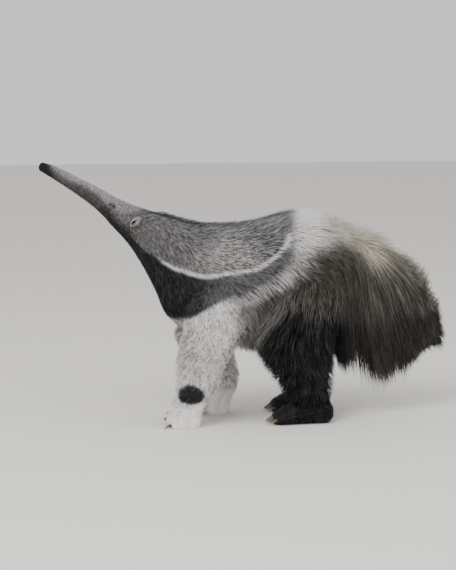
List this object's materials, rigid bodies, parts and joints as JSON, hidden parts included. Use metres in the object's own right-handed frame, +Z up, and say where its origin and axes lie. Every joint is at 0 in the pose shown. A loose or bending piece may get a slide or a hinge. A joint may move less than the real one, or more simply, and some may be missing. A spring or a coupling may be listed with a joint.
{
  "type": "giant anteater",
  "caption": "Still, life-size giant anteater standing with its long muzzle raised, coarse coat and bushy hanging tail.",
  "frame": {"origin": "on the floor, under the middle of the animal's box", "axes": "+Z up, the head points towards -X, the animal's left side is -Y"},
  "size_m": [1.378, 0.3358, 0.874],
  "materials": {
    "muzzle_skin": "short fine grey hair over matt skin, black moist nose",
    "coat_grey": "short coarse grey-brown hair, matt",
    "coat_brown": "long coarse dark brown and straw hair with a white-edged black band, matt",
    "coat_pale": "short pale grey speckled hair with a black wrist patch, matt",
    "coat_black": "long coarse black-brown hair, matt",
    "claw": "dark horn, paler and worn towards the tip",
    "eye": "wet dark brown eye"
  },
  "bodies": {
    "root": {"chest": "coat_brown", "ear_left": "coat_grey", "ear_right": "coat_grey", "eye_left": "eye", "eye_right": "eye", "fore_claw_left_1": "claw", "fore_claw_left_2": "claw", "fore_claw_left_3": "claw", "fore_claw_left_4": "claw", "fore_claw_right_1": "claw", "fore_claw_right_2": "claw", "fore_claw_right_3": "claw", "fore_claw_right_4": "claw", "forearm_left": "coat_pale", "forearm_right": "coat_pale", "forefoot_left": "coat_pale", "forefoot_right": "coat_pale", "head": "coat_grey", "hind_claw_left_1": "claw", "hind_claw_left_2": "claw", "hind_claw_left_3": "claw", "hind_claw_left_4": "claw", "hind_claw_left_5": "claw", "hind_claw_right_1": "claw", "hind_claw_right_2": "claw", "hind_claw_right_3": "claw", "hind_claw_right_4": "claw", "hind_claw_right_5": "claw", "hindfoot_left": "coat_black", "hindfoot_right": "coat_black", "neck": "coat_grey", "rump": "coat_brown", "shank_left": "coat_black", "shank_right": "coat_black", "snout": "muzzle_skin", "tail_base": "coat_black", "tail_end": "coat_black", "tail_middle": "coat_black", "thigh_left": "coat_black", "thigh_right": "coat_black", "torso": "coat_brown", "upper_arm_left": "coat_pale", "upper_arm_right": "coat_pale"}
  },
  "joints": []
}
